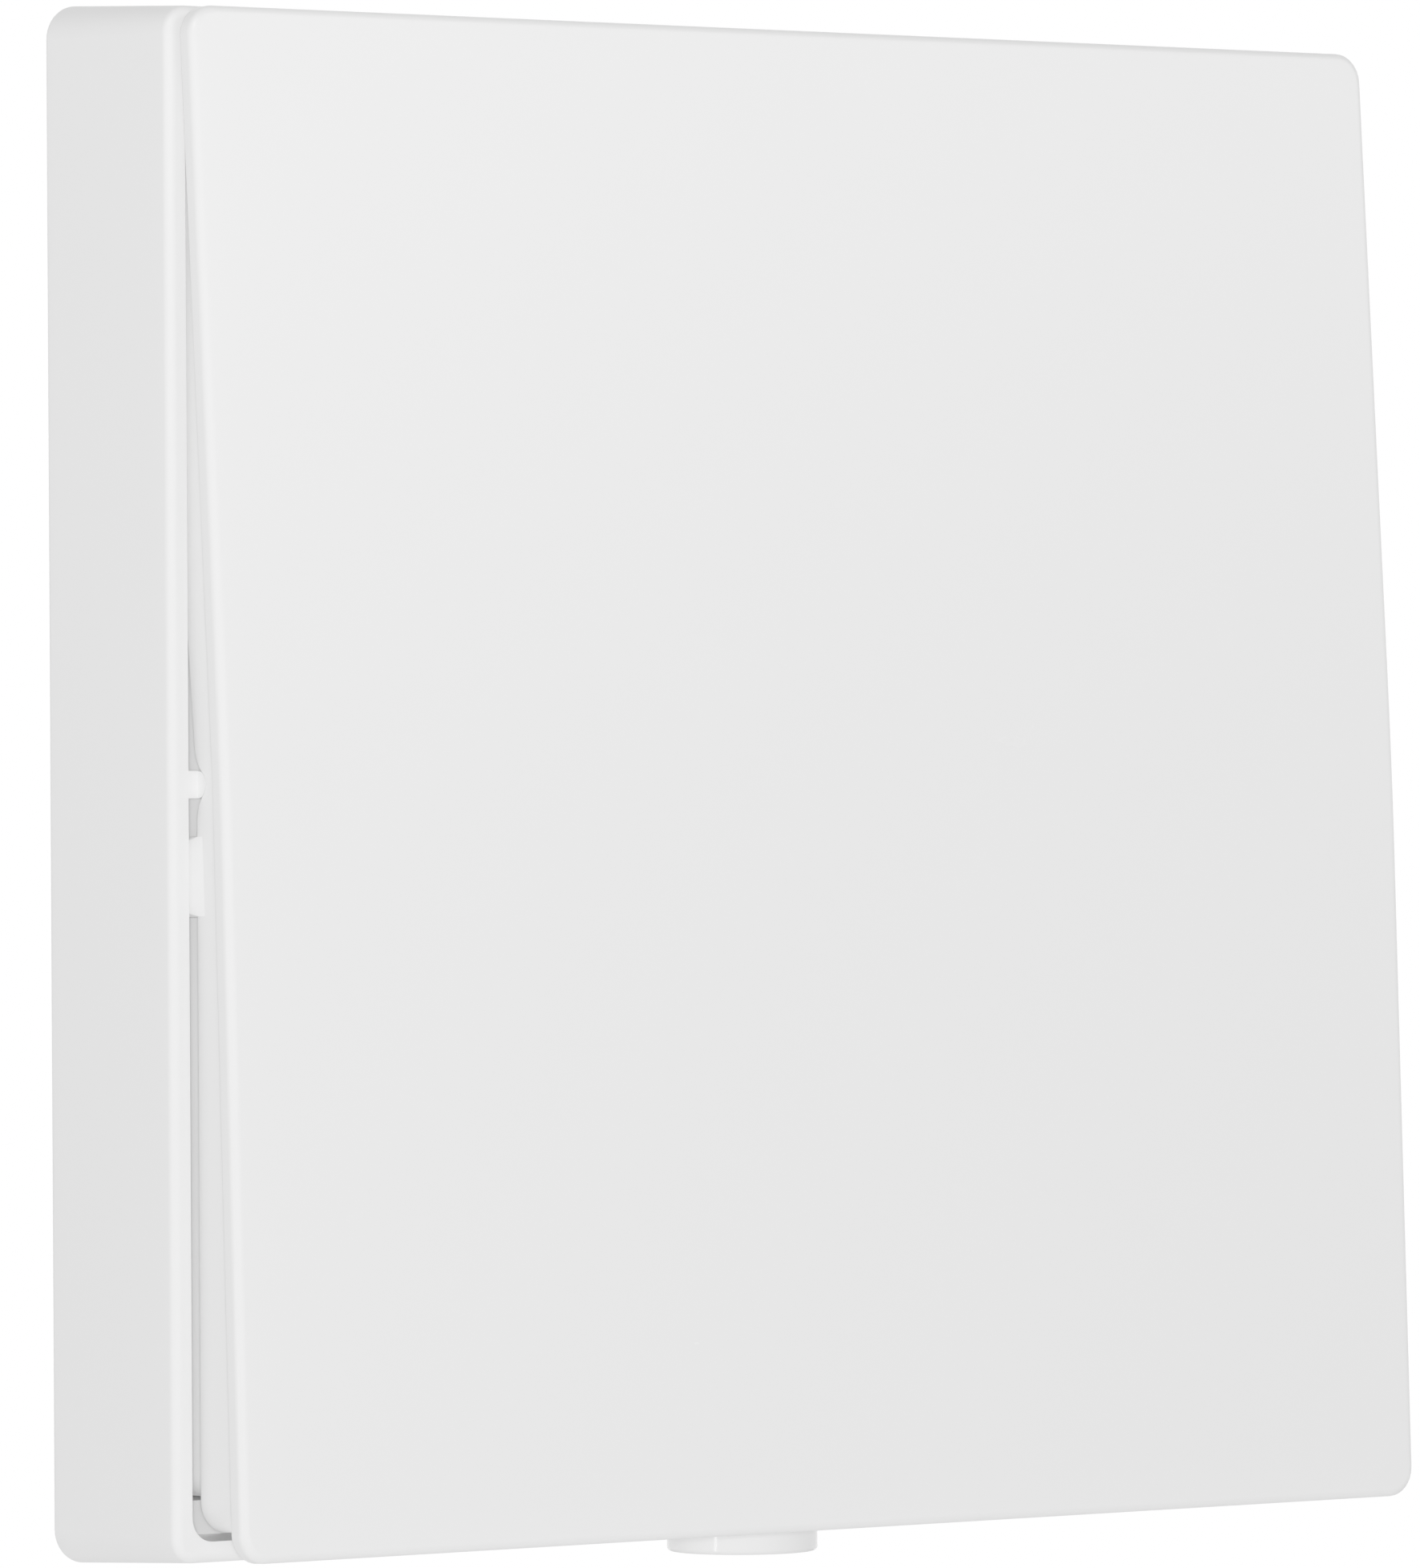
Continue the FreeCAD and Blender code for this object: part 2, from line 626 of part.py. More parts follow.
def rocker():
    """Face plate, skirt, bearing ears, guide lugs, post, spring seats and stops, drawn level on the axis."""
    body = body_named("rocker")
    section = sketch_on(body, "YZ_Plane")
    face_section(section)
    pad(body, section, "face_width", both=True)
    fillet(body, "face_corner", is_face_corner)
    front, behind = -value("face_end_stand") + 0.01, -value("face_back") - 0.01
    fillet(body, "face_edge", lambda e: on_face_outline(e) and e.BoundBox.YMax < front)
    fillet(body, "face_back_edge", lambda e: on_face_outline(e) and e.BoundBox.YMin > behind)

    inside = "(face_back + face_end_stand) / 2"
    skirt_room = "skirt_height / 2 * skirt_slope + 0.5"
    skirt = sketch_on(body, "XZ_Plane", f"-({skirt_room})")
    rounded_rectangle(skirt, "skirt_width", "skirt_height", "skirt_corner", "0", "-face_drop")
    inner_corner = "skirt_corner - skirt_wall"
    inner_width, inner_height = "(skirt_width - 2 * skirt_wall)", "(skirt_height - 2 * skirt_wall)"
    rounded_rectangle(skirt, inner_width, inner_height, inner_corner, "0", "-face_drop")
    pad(body, skirt, f"{inside} + {skirt_room}")
    behind = sketch_on(body, "YZ_Plane")
    high, far = "skirt_height / 2 + 1", "(skirt_height / 2 + 1) * skirt_slope"
    beyond = f"{far} + 2"
    corners = [("0", "0"), (far, f"-({high})"), (beyond, f"-({high})"), (beyond, high), (far, high)]
    outline(behind, corners)
    pocket(body, behind, "base_width", both=True)
    notch = sketch_on(body, "YZ_Plane")
    circle(notch, "notch_radius")
    pocket(body, notch, "base_width", both=True)
    fillet(body, "notch_flare", is_notch_mouth)

    hook = sketch_on(body, "YZ_Plane", "ear_outer - ear_thickness")
    hook_outline(hook, f"-({inside})")
    hook_pad = pad(body, hook, "ear_thickness")
    lug = sketch_on(body, "XY_Plane", "-lug_bottom")
    root, wall, tip = "skirt_width / 2 - skirt_wall", "skirt_width / 2", "cavity_width / 2 - lug_side_gap"
    ramp = [
        (root, "lug_depth"),
        (root, "-lug_start"),
        (wall, "-lug_start"),
        (tip, "lug_full"),
        (tip, "lug_depth"),
    ]
    outline(lug, ramp)
    lug_pad = pad(body, lug, "lug_height")
    mirror(body, [hook_pad, lug_pad])
    fillet(body, "lug_bevel", is_lug_end, kind="Chamfer")

    upright = sketch_on(body, "XZ_Plane", "face_back_end - rib_height")
    for side in ("", "-"):
        rectangle(upright, "rib_wall", "(skirt_height - skirt_wall)", side + "rib_offset", "-face_drop")
    pad(body, upright, f"{inside} - face_back_end + rib_height")
    level = sketch_on(body, "XZ_Plane", "face_back_end - rib_height")
    for side in ("", "-"):
        rectangle(level, "(skirt_width - skirt_wall)", "rib_wall", "0", side + "rib_level")
    pad(body, level, f"{inside} - face_back_end + rib_height")

    post = sketch_on(body, "XZ_Plane", "post_end")
    rounded_rectangle(post, "post_width", "post_width", "post_corner", "0", "-post_level")
    pad(body, post, f"{inside} - post_end")
    stops = sketch_on(body, "XZ_Plane", "stop_end")
    for side in ("", "-"):
        for end in ("", "-"):
            rectangle(stops, "stop_width", "stop_rib_wall", side + "stop_offset", end + "stop_level")
    pad(body, stops, f"{inside} - stop_end")
    seats = sketch_on(body, "XZ_Plane", "seat_stand")
    pins = sketch_on(body, "XZ_Plane", "seat_stand - spring_pin_height")
    for side in ("", "-"):
        circle(seats, "seat_radius", side + "spring_offset", "-spring_level")
        circle(pins, "spring_pin_radius", side + "spring_offset", "-spring_level")
    pad(body, seats, f"{inside} - seat_stand")
    pad(body, pins, "spring_pin_height + face_thickness / 4")
    bind(body, "Placement.Base.y", "-pivot_stand")
    bind(body, "Placement.Rotation.Angle", "-rest_tilt")
    body.Placement.Rotation = FreeCAD.Rotation(V(1, 0, 0), -value("rest_tilt"))
    return body


def face_section(sketch):
    """Side view of the plate: two shallow slopes that a wide arc joins, and their parallels at the back."""
    high, low = "face_height / 2 - face_drop", "-face_height / 2 - face_drop"
    bend, fall = "face_blend * sin(face_slope * 1 deg)", "tan(face_slope * 1 deg)"
    bend_x = f"{bend} * {fall} - face_stand"
    centre = "face_blend / cos(face_slope * 1 deg) - face_stand"
    corners = [
        ("-face_end_stand", high),
        (bend_x, f"{bend} - face_drop", (centre, "-face_drop", 1)),
        (bend_x, f"-{bend} - face_drop"),
        ("-face_end_stand", low),
        ("-face_back_end", low),
        ("-face_back", "-face_drop"),
        ("-face_back_end", high),
    ]
    outline(sketch, corners)


def hook_outline(sketch, root):
    """Side view of a bearing ear: a tongue with a round end, a bore on the axis and a snap-in slot."""
    half = "snap_width / 2"
    outer = f"sqrt(ear_radius ^ 2 - ({half}) ^ 2)"
    inner = f"sqrt(bearing_radius ^ 2 - ({half}) ^ 2)"
    corners = [
        (root, "-ear_radius"),
        ("0", "-ear_radius", ("0", "0", 1)),
        (outer, f"-{half}"),
        (inner, f"-{half}", ("0", "0", -1)),
        (inner, half),
        (outer, half, ("0", "0", 1)),
        ("0", "ear_radius"),
        (root, "ear_radius"),
    ]
    outline(sketch, corners)


def is_face_corner(edge):
    c = edge.CenterOfMass
    wide, high = near(abs(c.x), "face_width / 2"), near(abs(c.z + value("face_drop")), "face_height / 2")
    return wide and high and near(edge.BoundBox.YLength, "face_thickness")


def on_face_outline(edge):
    c = edge.CenterOfMass
    beyond = max(abs(c.x) - value("face_width") / 2, abs(c.z + value("face_drop")) - value("face_height") / 2)
    return beyond > -1 and edge.BoundBox.YMax < -value("face_back_end") + 0.01


def is_notch_mouth(edge):
    c = edge.CenterOfMass
    across = near(edge.BoundBox.XLength, "skirt_wall", 0.05)
    return across and abs(c.y) < 0.3 and near(abs(c.z), "notch_radius", 0.1)


def is_lug_end(edge):
    box = edge.BoundBox
    flat = near(box.XLength, "0", 0.001) and near(box.ZLength, "0", 0.001)
    return flat and near(abs(edge.CenterOfMass.x), "cavity_width / 2 - lug_side_gap")


def module_cover():
    """Inner lid over the electronics, with screw wells, windows, spring pins and recesses for the pads."""
    body = body_named("module_cover")
    shell = sketch_on(body, "XZ_Plane", "floor_thickness")
    rounded_rectangle(shell, "cover_width", "cover_height", "cover_corner")
    pad(body, shell, "cover_stand - floor_thickness")
    fillet(body, "cover_edge", lambda e: near(e.BoundBox.YMax, "-cover_stand"))
    hollow = sketch_on(body, "XZ_Plane", "floor_thickness")
    inner_width, inner_height = "(cover_width - 2 * cover_wall)", "(cover_height - 2 * cover_wall)"
    rounded_rectangle(hollow, inner_width, inner_height, "cover_corner / 2")
    pocket(body, hollow, "cover_inner - floor_thickness", reverse=True)
    wells = sketch_on(body, "XZ_Plane", "floor_thickness")
    shafts = sketch_on(body, "XZ_Plane", "cover_stand")
    for side in ("", "-"):
        circle(wells, "well_outer", side + "screw_spacing / 2")
        circle(shafts, "well_radius", side + "screw_spacing / 2")
    pad(body, wells, "cover_inner - floor_thickness + cover_wall / 2")
    posts = sketch_on(body, "XZ_Plane", "board_front")
    bores = sketch_on(body, "XZ_Plane", "cover_stand")
    for side in ("", "-"):
        for end in ("", "-"):
            x, z = side + "screw_post_x", end + "screw_post_z"
            circle(posts, "screw_post_radius", x, z)
            circle(shafts, "screw_radius + screw_clearance", x, z)
            circle(bores, "screw_head_radius + 2 * screw_clearance", x, z)
    pad(body, posts, "cover_inner - board_front + cover_wall / 2")
    circle(shafts, "window_radius", "0", "cell_level")
    circle(shafts, "plunger_radius + plunger_window_gap", "0", "-post_level")
    circle(shafts, "led_window_radius", "led_place_x", "led_place_z")
    pocket(body, shafts)
    pocket(body, bores, "screw_head_sink + screw_head_height")
    recesses = sketch_on(body, "XZ_Plane", "cover_stand")
    for side in ("", "-"):
        for end in ("", "-"):
            wide, high = "(stop_width + 2 * stop_side_gap)", "(stop_depth + 2 * stop_side_gap)"
            rectangle(recesses, wide, high, side + "stop_offset", end + "stop_level")
    pocket(body, recesses, "stop_recess")
    pins = sketch_on(body, "XZ_Plane", "cover_stand")
    for side in ("", "-"):
        circle(pins, "spring_pin_radius", side + "spring_offset", "-spring_level")
    pad(body, pins, "spring_pin_height")
    door = sketch_on(body, "XY_Plane", "-cover_height / 2 - cover_wall")
    left, right = "button_offset - stem_radius * 2", "button_offset + stem_radius * 2"
    back, front = "-floor_thickness / 2", "-stem_stand - stem_radius * 1.5"
    outline(door, [(left, front), (right, front), (right, back), (left, back)])
    pocket(body, door, "cover_wall * 2.5", reverse=True)
    return body


def learn_button():
    """Round push-button with a retaining plate behind the wall and a stem to its switch."""
    body = body_named("learn_button")
    cap = sketch_on(body, "XY_Plane", "-button_reach")
    circle(cap, "button_radius", "button_offset", "-button_stand")
    pad(body, cap, "button_reach - button_inner")
    fillet(body, "button_edge", lambda e: near(e.BoundBox.ZMax, "-button_reach"))
    middle = "(ear_plate_low + ear_plate_high) / 2"
    thick = "(ear_plate_high - ear_plate_low)"
    neck = sketch_on(body, "XY_Plane", "-button_inner - button_edge")
    rounded_rectangle(neck, "neck_width", thick, "neck_corner", "button_offset", f"-{middle}")
    pad(body, neck, "button_inner + button_edge - ear_plate_place")
    plate = sketch_on(body, "XY_Plane", "-ear_plate_place")
    rounded_rectangle(plate, "ear_plate_width", thick, "neck_corner", "button_offset", f"-{middle}")
    pad(body, plate, "ear_plate_wall")
    stem = sketch_on(body, "XY_Plane", "-ear_plate_place")
    circle(stem, "stem_radius", "button_offset", "-stem_stand")
    pad(body, stem, "ear_plate_place - side_switch_edge - side_plunger_reach - stem_gap")
    return body


def circuit_board():
    body = body_named("circuit_board")
    blank = sketch_on(body, "XZ_Plane", "board_stand")
    rounded_rectangle(blank, "board_width", "board_height", "board_corner")
    pad(body, blank, "board_thickness")
    holes = sketch_on(body, "XZ_Plane", "board_front")
    for side in ("", "-"):
        for end in ("", "-"):
            circle(holes, "screw_radius + 1.5 * screw_clearance", side + "screw_post_x", end + "screw_post_z")
        circle(holes, "well_outer + board_notch_gap", side + "screw_spacing / 2")
    pocket(body, holes)
    return body


def battery_holder():
    """Open ring on a thin disc, with a gap for the clip at the top and one for the negative contact."""
    body = body_named("battery_holder")
    disc = sketch_on(body, "XZ_Plane", "board_front")
    circle(disc, "holder_outer", "0", "cell_level")
    pad(body, disc, "holder_height")
    nest = sketch_on(body, "XZ_Plane", "board_front + holder_height")
    circle(nest, "holder_inner", "0", "cell_level")
    pocket(body, nest, "holder_height - holder_floor")
    top = sketch_on(body, "XZ_Plane", "board_front + holder_height")
    rectangle(top, "(clip_width * 1.25)", "(holder_wall * 3)", "0", "cell_level + holder_outer")
    pocket(body, top)
    bottom = sketch_on(body, "XZ_Plane", "board_front + holder_height")
    rectangle(bottom, "(contact_width * 3)", "(holder_wall * 3)", "0", "cell_level - holder_outer")
    pocket(body, bottom, "holder_height - holder_floor")
    return body


def bent_strip(label, width, corners):
    """A sheet-metal strip drawn from the side as (stand, level) pairs and made as wide as asked."""
    body = body_named(label)
    sketch = sketch_on(body, "YZ_Plane")
    outline(sketch, [(f"-({stand})", level) for stand, level in corners])
    pad(body, sketch, width, both=True)
    return body


def battery_contact_negative():
    t, bump = "contact_thickness", "cell_stand - contact_gap"
    disc, foot = "board_front + holder_floor", "cell_level - holder_outer - 2 * holder_gap"
    far, crest = "contact_reach", "contact_reach / 5"
    corners = [
        ("board_front", f"{foot} - contact_foot"),
        (f"board_front + {t}", f"{foot} - contact_foot"),
        (f"board_front + {t}", f"{foot} - {t}"),
        (f"{disc} + {t}", f"{foot} - {t}"),
        (f"{disc} + {t}", f"cell_level - {far}"),
        (bump, f"cell_level - {crest}"),
        (bump, f"cell_level + {crest}"),
        (f"{disc} + {t}", f"cell_level + {far}"),
        (disc, f"cell_level + {far}"),
        (f"{bump} - {t}", f"cell_level + {crest}"),
        (f"{bump} - {t}", f"cell_level - {crest}"),
        (disc, f"cell_level - {far}"),
        (disc, foot),
        ("board_front", foot),
    ]
    return bent_strip("battery_contact_negative", "contact_width", corners)


def battery_clip_positive():
    t, can = "contact_thickness", "cell_stand + cell_height"
    leg = "cell_level + cell_radius + clip_gap"
    tip = "cell_level + cell_radius - clip_reach"
    dip = f"{tip} + contact_foot"
    corners = [
        ("board_front", f"{leg} + contact_foot"),
        (f"board_front + {t}", f"{leg} + contact_foot"),
        (f"board_front + {t}", f"{leg} + {t}"),
        (f"{can} + clip_lift + {t}", f"{leg} + {t}"),
        (f"{can} + {t}", dip),
        (f"{can} + clip_lift + {t}", tip),
        (f"{can} + clip_lift", tip),
        (can, dip),
        (f"{can} + clip_lift", leg),
        ("board_front", leg),
    ]
    return bent_strip("battery_clip_positive", "clip_width", corners)


def coin_cell():
    """Positive can towards the front, the smaller negative cap towards the board."""
    front = "cell_stand + cell_height"
    can = rod("cell_can", "cell_radius", "0", ("cell_stand + cell_cap_height", front), "cell_level")
    half_way = ("cell_stand", "cell_stand + cell_height / 2")
    cap = rod("cell_cap", "cell_cap_radius", "0", half_way, "cell_level")
    return fuse("coin_cell", [can, cap])


CORNERS = [("", ""), ("-", ""), ("-", "-"), ("", "-")]


def cover_screws():
    """Four identical pan-head screws with a cross recess."""
    screws = []
    seat = "cover_stand - screw_head_sink - screw_head_height"
    top = "cover_stand - screw_head_sink"
    cross = (f"{top} - screw_cross_depth", f"{top} + screw_cross_depth")
    long, short = "screw_radius", "screw_cross_width / 2"
    for i, (sx, sz) in enumerate(CORNERS, start=1):
        x, z = sx + "screw_post_x", sz + "screw_post_z"
        shank_stand = ("screw_tip_stand", f"{seat} + screw_cross_depth / 2")
        shank = rod(f"shank_{i}", "screw_radius", x, shank_stand, z)
        head = rod(f"head_{i}", "screw_head_radius", x, (seat, top), z)
        long_x, short_x = (f"{x} - {long}", f"{x} + {long}"), (f"{x} - {short}", f"{x} + {short}")
        long_z, short_z = (f"{z} - {long}", f"{z} + {long}"), (f"{z} - {short}", f"{z} + {short}")
        along = block(f"along_{i}", long_x, cross, short_z)
        across = block(f"across_{i}", short_x, cross, long_z)
        whole = fuse(f"screw_blank_{i}", [shank, head])
        screws.append(cut(f"screw_{i}", whole, fuse(f"recess_{i}", [along, across])))
    return group("cover_screws", screws)


def stop_pads():
    """Four soft pads that the rocker's stop ribs land on."""
    pads = []
    stand = ("cover_stand - stop_recess", "stop_front")
    for i, (sx, sz) in enumerate(CORNERS, start=1):
        x = (f"{sx}stop_offset - stop_width / 2", f"{sx}stop_offset + stop_width / 2")
        z = (f"{sz}stop_level - stop_depth / 2", f"{sz}stop_level + stop_depth / 2")
        pads.append(block(f"stop_pad_{i}", x, stand, z))
    return group("stop_pads", pads)


def rocker_switch():
    """Long-stroke switch: a square body with a round collar, and the plunger that slides in it."""
    half = "switch_width / 2"
    shoulder = "board_front + switch_height * 0.7"
    box = block(
        "switch_box",
        (f"-{half}", half),
        ("board_front", shoulder),
        (f"-post_level - {half}", f"-post_level + {half}"),
    )
    outer = "plunger_radius + plunger_gap + collar_wall"
    collar = rod("switch_collar", outer, "0", ("board_front", "switch_front"), "-post_level")
    bore = rod(
        "switch_bore",
        "plunger_radius + plunger_gap",
        "0",
        ("plunger_stand - plunger_depth - plunger_room", "cover_stand"),
        "-post_level",
    )
    body = cut("rocker_switch_body", fuse("switch_shell", [box, collar]), bore)
    stand = ("plunger_stand - plunger_depth", "plunger_stand")
    plunger = rod("rocker_switch_plunger", "plunger_radius", "0", stand, "-post_level")
    return body, plunger


def learn_switch():
    """Side-acting switch at the board's bottom edge and its flat plunger."""
    half = "side_switch_width / 2"
    box = block(
        "side_switch_box",
        (f"button_offset - {half}", f"button_offset + {half}"),
        ("board_front", "board_front + side_switch_depth"),
        ("-side_switch_edge", "-side_switch_edge + side_switch_height"),
    )

    def bar(label, clearance, low, high):
        wide = f"(side_plunger_width / 2 + {clearance})"
        deep = f"(side_plunger_height / 2 + {clearance})"
        x = (f"button_offset - {wide}", f"button_offset + {wide}")
        return block(label, x, (f"stem_stand - {deep}", f"stem_stand + {deep}"), (low, high))

    inner = "-side_switch_edge + side_plunger_depth"
    outer, deepest = "-side_switch_edge - side_plunger_reach", f"{inner} + 1.4 * button_travel"
    pocket_bar = bar("side_switch_pocket", "side_plunger_gap", outer, deepest)
    body = cut("learn_switch_body", box, pocket_bar)
    plunger = bar("learn_switch_plunger", "0", outer, inner)
    return body, plunger


def on_board(label, x, z, size, base="board_front", edge=None):
    """A block that lies on a board: centre, then width, height and thickness."""
    wide, high, thick = size
    return block(
        label,
        (f"{x} - {wide} / 2", f"{x} + {wide} / 2"),
        (base, f"{base} + {thick}"),
        (f"{z} - {high} / 2", f"{z} + {high} / 2"),
        edge,
    )


def radio():
    """Radio module: its own small board, a pressed shield that is open at the back and a chip antenna."""
    size = ("radio_width", "radio_height", "radio_board_thickness")
    board = on_board("radio_board", "radio_place_x", "radio_place_z", size)
    top = "board_front + radio_board_thickness"
    level = "radio_place_z - radio_height / 2 + shield_height / 2 + shield_margin"
    size = ("shield_width", "shield_height", "shield_thickness")
    outer = on_board("shield_outer", "radio_place_x", f"({level})", size, top, "shield_corner")
    wall = "2 * shield_wall"
    room = (f"(shield_width - {wall})", f"(shield_height - {wall})", "shield_thickness - shield_wall")
    inner = on_board("shield_inner", "radio_place_x", f"({level})", room, top)
    shield = cut("radio_shield", outer, inner)
    level = "radio_place_z + radio_height / 2 - antenna_height / 2 - antenna_margin"
    size = ("antenna_width", "antenna_height", "antenna_thickness")
    antenna = on_board("chip_antenna", "radio_place_x", f"({level})", size, top)
    return board, shield, antenna


def small_electronics():
    """Controller chip with a corner dimple, its clock crystal and the status lamp."""
    chip_sizes = ("chip_size", "chip_size", "chip_thickness")
    chip_block = on_board("chip_block", "chip_place_x", "chip_place_z", chip_sizes)
    mark = "(chip_size / 2 - 2 * dimple_radius)"
    stand = ("board_front + chip_thickness * 0.9", "board_front + chip_thickness * 2")
    dimple = rod("chip_dimple", "dimple_radius", f"chip_place_x - {mark}", stand, f"chip_place_z + {mark}")
    chip = cut("controller_chip", chip_block, dimple)
    place = "(chip_place_z + chip_size / 2 + part_pitch)"
    half = "crystal_thickness * 0.6"
    crystal_base = on_board("crystal_base", "chip_place_x", place, ("crystal_length", "crystal_width", half))
    lid = ("(crystal_length - 2 * crystal_lip)", "(crystal_width - 2 * crystal_lip)", "crystal_thickness")
    crystal = fuse("clock_crystal", [crystal_base, on_board("crystal_lid", "chip_place_x", place, lid)])
    frame = ("led_length", "led_width", "led_thickness / 2")
    lens = ("led_length * 0.65", "led_width", "led_thickness")
    led_frame = on_board("led_frame", "led_place_x", "led_place_z", frame)
    led = fuse("status_led", [led_frame, on_board("led_lens", "led_place_x", "led_place_z", lens)])
    return chip, crystal, led


def small_parts():
    """Six capacitors beside the chip and under the radio, six flat resistors by the switch and the lamp."""
    near_chip = [
        (f"(chip_place_x {a} part_reach)", f"(chip_place_z {b} part_pitch / 2)") for a in "+-" for b in "+-"
    ]
    low = "(radio_place_z - radio_height / 2 - part_reach)"
    near_radio = [(f"(radio_place_x {a} part_pitch / 2)", low) for a in "+-"]
    low = "(-post_level - switch_width / 2 - part_reach)"
    near_switch = [(f"({count} * part_pitch)", low) for count in (-1.5, -0.5, 0.5, 1.5)]
    near_led = [(f"(led_place_x + {count} * part_pitch)", "led_place_z") for count in (1, 2)]
    size = ("part_length", "part_width", "part_thickness")
    flat = ("part_length", "part_width", "part_thickness * 0.55")
    spots = enumerate(near_chip + near_radio, start=1)
    capacitors = [on_board(f"capacitor_{i}", x, z, size) for i, (x, z) in spots]
    spots = enumerate(near_switch + near_led, start=1)
    resistors = [on_board(f"resistor_{i}", x, z, flat) for i, (x, z) in spots]
    return group("chip_capacitors", capacitors), group("chip_resistors", resistors)


def spring_rise(turn, turns, closed, coil, height):
    """Height of the wire's centre after so many turns: closed at both ends, evenly open between."""
    low = min(turn, closed)
    top = max(0.0, turn - (turns - closed))
    middle = turn - low - top
    return (low + top) * coil + middle * (height - 2 * closed * coil) / (turns - 2 * closed)


def return_spring(label, side):
    """Compression spring between the cover and the rocker's seat, its wire swept along arcs."""
    wire, radius, turns = value("spring_wire"), value("spring_radius"), value("spring_turns")
    tilt = math.radians(value("rest_tilt"))
    seat = value("pivot_stand + seat_stand * cos(rest_tilt * 1 deg) + spring_level * sin(rest_tilt * 1 deg)")
    seat -= (radius + wire / 2) * math.sin(tilt)
    start = value("cover_stand + spring_gap") + wire / 2
    height = seat - value("spring_gap") - wire / 2 - start
    steps = int(round(turns * 4))
    closed = 0.75
    pitch = wire + value("spring_end_gap")

    def spot(turn):
        angle = 2 * math.pi * turn
        rise = spring_rise(turn, turns, closed, pitch, height)
        return V(radius * math.cos(angle), -(start + rise), radius * math.sin(angle))

    points = [spot(turns * i / steps) for i in range(steps + 1)]
    tangents = []
    for i in range(steps + 1):
        turn = turns * i / steps
        low, high = max(turn - 0.01, 0), min(turn + 0.01, turns)
        rise = (spot(high).y - spot(low).y) / (high - low) / (2 * math.pi)
        angle = 2 * math.pi * turn
        tangents.append(V(-radius * math.sin(angle), rise, radius * math.cos(angle)).normalize())
    edges = []
    for i in range(steps):
        edges += biarc(points[i], tangents[i], points[i + 1], tangents[i + 1])
    path = Part.Wire(edges)
    ring = Part.Wire([Part.Circle(points[0], tangents[0], wire / 2).toShape()])
    shell = Part.BRepOffsetAPI.MakePipeShell(path)
    shell.add(ring)
    shell.build()
    shell.makeSolid()
    coil = doc.addObject("Part::Feature", label)
    coil.Label = label
    coil.Shape = shell.shape()
    coil.Placement.Base = V(side * value("spring_offset"), 0, -value("spring_level"))
    return coil


def biarc(start, start_way, end, end_way):
    """Two arcs that leave one point and reach another along the given directions."""
    across = end - start
    ways = start_way + end_way
    a = 2 * (start_way.dot(end_way) - 1)
    b = -2 * across.dot(ways)
    c = across.dot(across)
    reach = c / -b if abs(a) < 1e-12 else (-b - math.sqrt(b * b - 4 * a * c)) / (2 * a)
    first, second = start + start_way * reach, end - end_way * reach
    joint = (first + second) * 0.5
    edges = []
    for low, bend, high in ((start, first, joint), (joint, second, end)):
        weight = (high - low).Length / (2 * reach)
        middle = (low + bend * (2 * weight) + high) * (1 / (2 + 2 * weight))
        edges.append(Part.Arc(low, middle, high).toShape())
    return edges


def export(node):
    """Refuses a broken shape, then writes the node's file."""
    if "Invalid" in node.State or "Error" in node.State:
        raise RuntimeError(f"{node.Label} has the state {node.State}")
    shape = node.Shape
    if shape.isNull() or not shape.isValid():
        raise RuntimeError(f"{node.Label} has no valid shape")
    box = shape.BoundBox
    print(
        f"{node.Label:26s} solids {len(shape.Solids)}  volume {shape.Volume:10.2f}"
        f"  x {box.XMin:7.2f} {box.XMax:7.2f}  y {box.YMin:7.2f} {box.YMax:7.2f}"
        f"  z {box.ZMin:7.2f} {box.ZMax:7.2f}"
    )
    shape.exportStep(f"parts/{node.Label}.step")


def main():
    """Builds every piece, checks it and writes its file."""
    nodes = [base_housing(), rocker(), module_cover(), learn_button()]
    nodes += [circuit_board(), battery_holder(), coin_cell()]
    nodes += [battery_contact_negative(), battery_clip_positive(), cover_screws(), stop_pads()]
    nodes += [*rocker_switch(), *learn_switch(), *radio(), *small_electronics(), *small_parts()]
    doc.recompute()
    nodes += [return_spring("return_spring_left", -1), return_spring("return_spring_right", 1)]
    doc.recompute()
    os.makedirs("parts", exist_ok=True)
    for thing in doc.Objects:
        if "Invalid" in thing.State or "Error" in thing.State:
            raise RuntimeError(f"{thing.Label} has the state {thing.State}")
    for node in nodes:
        export(node)


if __name__ == "__main__":
    main()
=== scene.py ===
"""Looks of a surface-mounted wireless light switch, as it hangs on a wall, lit by a soft white studio."""
import math

import bmesh
import bpy
from mathutils import Matrix, Vector


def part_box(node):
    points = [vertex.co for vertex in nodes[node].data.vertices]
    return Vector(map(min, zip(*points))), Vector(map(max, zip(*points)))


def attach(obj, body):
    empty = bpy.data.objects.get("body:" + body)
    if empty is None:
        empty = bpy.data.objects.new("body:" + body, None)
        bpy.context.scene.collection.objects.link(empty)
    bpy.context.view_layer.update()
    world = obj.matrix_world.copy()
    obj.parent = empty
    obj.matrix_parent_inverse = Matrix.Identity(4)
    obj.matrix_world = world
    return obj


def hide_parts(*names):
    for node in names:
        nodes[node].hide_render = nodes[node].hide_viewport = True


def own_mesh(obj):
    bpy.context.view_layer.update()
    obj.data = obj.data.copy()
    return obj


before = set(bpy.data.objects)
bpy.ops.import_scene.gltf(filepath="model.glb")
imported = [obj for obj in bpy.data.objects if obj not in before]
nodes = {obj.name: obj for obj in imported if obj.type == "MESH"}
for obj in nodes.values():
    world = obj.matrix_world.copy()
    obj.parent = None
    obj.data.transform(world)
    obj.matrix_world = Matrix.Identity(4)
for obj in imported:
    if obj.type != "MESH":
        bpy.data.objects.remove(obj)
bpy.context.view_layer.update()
scene = bpy.context.scene


